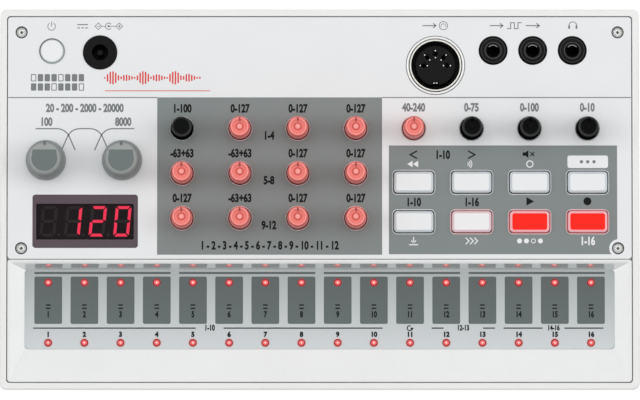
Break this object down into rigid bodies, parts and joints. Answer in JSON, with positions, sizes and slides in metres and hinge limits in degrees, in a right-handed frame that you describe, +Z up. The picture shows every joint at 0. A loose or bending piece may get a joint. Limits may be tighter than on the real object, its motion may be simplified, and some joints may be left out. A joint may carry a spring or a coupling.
{
  "type": "audio sampler",
  "caption": "Flat desktop audio sampler with turning knobs, push buttons, digit display, top sockets and a sunken strip of lit touch keys.",
  "frame": {"origin": "on the table under the middle of the case", "axes": "+X to the player's right, +Y to the back edge, +Z up out of the panel"},
  "size_m": [0.1928, 0.115, 0.045],
  "materials": {
    "case_white": "fine-grained white moulding",
    "panel_white": "satin white printed panel",
    "bezel_white": "polished white moulding",
    "plate_grey": "printed grey touch plate",
    "lamp_red": "clear red lamp domes",
    "board_green": "green laminate",
    "link_tan": "flat lead and pin header",
    "screw_steel": "plated steel",
    "window_tint": "smoked clear plastic",
    "module_black": "black moulding",
    "pot_grey": "dark grey moulding",
    "socket_black": "black moulding",
    "shield_metal": "bright nickel",
    "cone_paper": "dark paper",
    "cell_wrap": "plain wrapped cells",
    "foot_rubber": "soft black rubber",
    "knob_grey": "soft grey moulding",
    "knob_red": "translucent red moulding",
    "knob_black": "black moulding",
    "button_white": "satin white cap",
    "button_red": "lit translucent cap"
  },
  "bodies": {
    "case": {"upper_case": "case_white", "lower_case": "case_white", "top_panel": "panel_white", "step_bezel": "bezel_white", "step_plate": "plate_grey", "step_leds": "lamp_red", "touch_board": "board_green", "display_window": "window_tint", "display_module": "module_black", "main_board": "board_green", "jack_board": "board_green", "board_links": "link_tan", "board_screws": "screw_steel", "large_pots": "pot_grey", "small_pots": "pot_grey", "sample_encoder": "pot_grey", "button_switches": "module_black", "power_switch": "module_black", "dc_jack": "socket_black", "midi_socket": "socket_black", "midi_shield": "shield_metal", "midi_contacts": "shield_metal", "mini_jacks": "socket_black", "speaker_frame": "screw_steel", "speaker_cone": "cone_paper", "battery_cells": "cell_wrap", "battery_contacts": "shield_metal", "feet": "foot_rubber", "panel_screws": "screw_steel", "case_screws": "screw_steel"},
    "knob_sample_select": {"knob_sample_select": "knob_black"},
    "knob_start_point": {"knob_start_point": "knob_red"},
    "knob_length": {"knob_length": "knob_red"},
    "knob_high_cut": {"knob_high_cut": "knob_red"},
    "knob_speed": {"knob_speed": "knob_red"},
    "knob_pitch_amount": {"knob_pitch_amount": "knob_red"},
    "knob_pitch_attack": {"knob_pitch_attack": "knob_red"},
    "knob_pitch_decay": {"knob_pitch_decay": "knob_red"},
    "knob_level": {"knob_level": "knob_red"},
    "knob_pan": {"knob_pan": "knob_red"},
    "knob_amp_attack": {"knob_amp_attack": "knob_red"},
    "knob_amp_decay": {"knob_amp_decay": "knob_red"},
    "knob_tempo": {"knob_tempo": "knob_red"},
    "knob_swing": {"knob_swing": "knob_black"},
    "knob_reverb_mix": {"knob_reverb_mix": "knob_black"},
    "knob_volume": {"knob_volume": "knob_black"},
    "knob_bass": {"knob_bass": "knob_grey", "shaft_bass": "shield_metal"},
    "knob_treble": {"knob_treble": "knob_grey", "shaft_treble": "shield_metal"},
    "button_reverse": {"button_reverse": "button_white"},
    "button_reverb": {"button_reverb": "button_white"},
    "button_mute": {"button_mute": "button_white"},
    "button_function": {"button_function": "button_white"},
    "button_memory": {"button_memory": "button_white"},
    "button_step_mode": {"button_step_mode": "button_white"},
    "button_play": {"button_play": "button_red"},
    "button_record": {"button_record": "button_red"},
    "power_button": {"power_button": "button_white"},
    "battery_cover": {"battery_cover": "case_white"}
  },
  "joints": [
    {"name": "sample_select_turn", "type": "hinge", "parent": "case", "child": "knob_sample_select", "pos_m": [-0.04149, 0.0214, 0.0337], "axis": [0, 0, 1], "continuous": true},
    {"name": "start_point_turn", "type": "hinge", "parent": "case", "child": "knob_start_point", "pos_m": [-0.02403, 0.0214, 0.0337], "axis": [0, 0, 1], "range_deg": [-140, 140]},
    {"name": "length_turn", "type": "hinge", "parent": "case", "child": "knob_length", "pos_m": [-0.00656, 0.0214, 0.0337], "axis": [0, 0, 1], "range_deg": [-140, 140]},
    {"name": "high_cut_turn", "type": "hinge", "parent": "case", "child": "knob_high_cut", "pos_m": [0.01091, 0.0214, 0.0337], "axis": [0, 0, 1], "range_deg": [-140, 140]},
    {"name": "speed_turn", "type": "hinge", "parent": "case", "child": "knob_speed", "pos_m": [-0.04149, 0.00785, 0.0337], "axis": [0, 0, 1], "range_deg": [-140, 140]},
    {"name": "pitch_amount_turn", "type": "hinge", "parent": "case", "child": "knob_pitch_amount", "pos_m": [-0.02403, 0.00785, 0.0337], "axis": [0, 0, 1], "range_deg": [-140, 140]},
    {"name": "pitch_attack_turn", "type": "hinge", "parent": "case", "child": "knob_pitch_attack", "pos_m": [-0.00656, 0.00785, 0.0337], "axis": [0, 0, 1], "range_deg": [-140, 140]},
    {"name": "pitch_decay_turn", "type": "hinge", "parent": "case", "child": "knob_pitch_decay", "pos_m": [0.01091, 0.00785, 0.0337], "axis": [0, 0, 1], "range_deg": [-140, 140]},
    {"name": "level_turn", "type": "hinge", "parent": "case", "child": "knob_level", "pos_m": [-0.04149, -0.0057, 0.0337], "axis": [0, 0, 1], "range_deg": [-140, 140]},
    {"name": "pan_turn", "type": "hinge", "parent": "case", "child": "knob_pan", "pos_m": [-0.02403, -0.0057, 0.0337], "axis": [0, 0, 1], "range_deg": [-140, 140]},
    {"name": "amp_attack_turn", "type": "hinge", "parent": "case", "child": "knob_amp_attack", "pos_m": [-0.00656, -0.0057, 0.0337], "axis": [0, 0, 1], "range_deg": [-140, 140]},
    {"name": "amp_decay_turn", "type": "hinge", "parent": "case", "child": "knob_amp_decay", "pos_m": [0.01091, -0.0057, 0.0337], "axis": [0, 0, 1], "range_deg": [-140, 140]},
    {"name": "tempo_turn", "type": "hinge", "parent": "case", "child": "knob_tempo", "pos_m": [0.02839, 0.0214, 0.0337], "axis": [0, 0, 1], "range_deg": [-140, 140]},
    {"name": "swing_turn", "type": "hinge", "parent": "case", "child": "knob_swing", "pos_m": [0.04585, 0.0214, 0.0337], "axis": [0, 0, 1], "range_deg": [-140, 140]},
    {"name": "reverb_mix_turn", "type": "hinge", "parent": "case", "child": "knob_reverb_mix", "pos_m": [0.06333, 0.0214, 0.0337], "axis": [0, 0, 1], "range_deg": [-140, 140]},
    {"name": "volume_turn", "type": "hinge", "parent": "case", "child": "knob_volume", "pos_m": [0.0808, 0.0214, 0.0337], "axis": [0, 0, 1], "range_deg": [-140, 140]},
    {"name": "bass_turn", "type": "hinge", "parent": "case", "child": "knob_bass", "pos_m": [-0.0826, 0.0118, 0.0337], "axis": [0, 0, 1], "range_deg": [-140, 140]},
    {"name": "treble_turn", "type": "hinge", "parent": "case", "child": "knob_treble", "pos_m": [-0.0596, 0.0118, 0.0337], "axis": [0, 0, 1], "range_deg": [-140, 140]},
    {"name": "reverse_press", "type": "slide", "parent": "case", "child": "button_reverse", "axis": [0, 0, -1], "range_m": [0, 0.0008], "stiffness_N_per_m": 1500},
    {"name": "reverb_press", "type": "slide", "parent": "case", "child": "button_reverb", "axis": [0, 0, -1], "range_m": [0, 0.0008], "stiffness_N_per_m": 1500},
    {"name": "mute_press", "type": "slide", "parent": "case", "child": "button_mute", "axis": [0, 0, -1], "range_m": [0, 0.0008], "stiffness_N_per_m": 1500},
    {"name": "function_press", "type": "slide", "parent": "case", "child": "button_function", "axis": [0, 0, -1], "range_m": [0, 0.0008], "stiffness_N_per_m": 1500},
    {"name": "memory_press", "type": "slide", "parent": "case", "child": "button_memory", "axis": [0, 0, -1], "range_m": [0, 0.0008], "stiffness_N_per_m": 1500},
    {"name": "step_mode_press", "type": "slide", "parent": "case", "child": "button_step_mode", "axis": [0, 0, -1], "range_m": [0, 0.0008], "stiffness_N_per_m": 1500},
    {"name": "play_press", "type": "slide", "parent": "case", "child": "button_play", "axis": [0, 0, -1], "range_m": [0, 0.0008], "stiffness_N_per_m": 1500},
    {"name": "record_press", "type": "slide", "parent": "case", "child": "button_record", "axis": [0, 0, -1], "range_m": [0, 0.0008], "stiffness_N_per_m": 1500},
    {"name": "power_press", "type": "slide", "parent": "case", "child": "power_button", "axis": [0, 0, -1], "range_m": [0, 0.0008], "stiffness_N_per_m": 1500},
    {"name": "battery_cover_slide", "type": "slide", "parent": "case", "child": "battery_cover", "axis": [0, -1, 0], "range_m": [0, 0.048]}
  ]
}
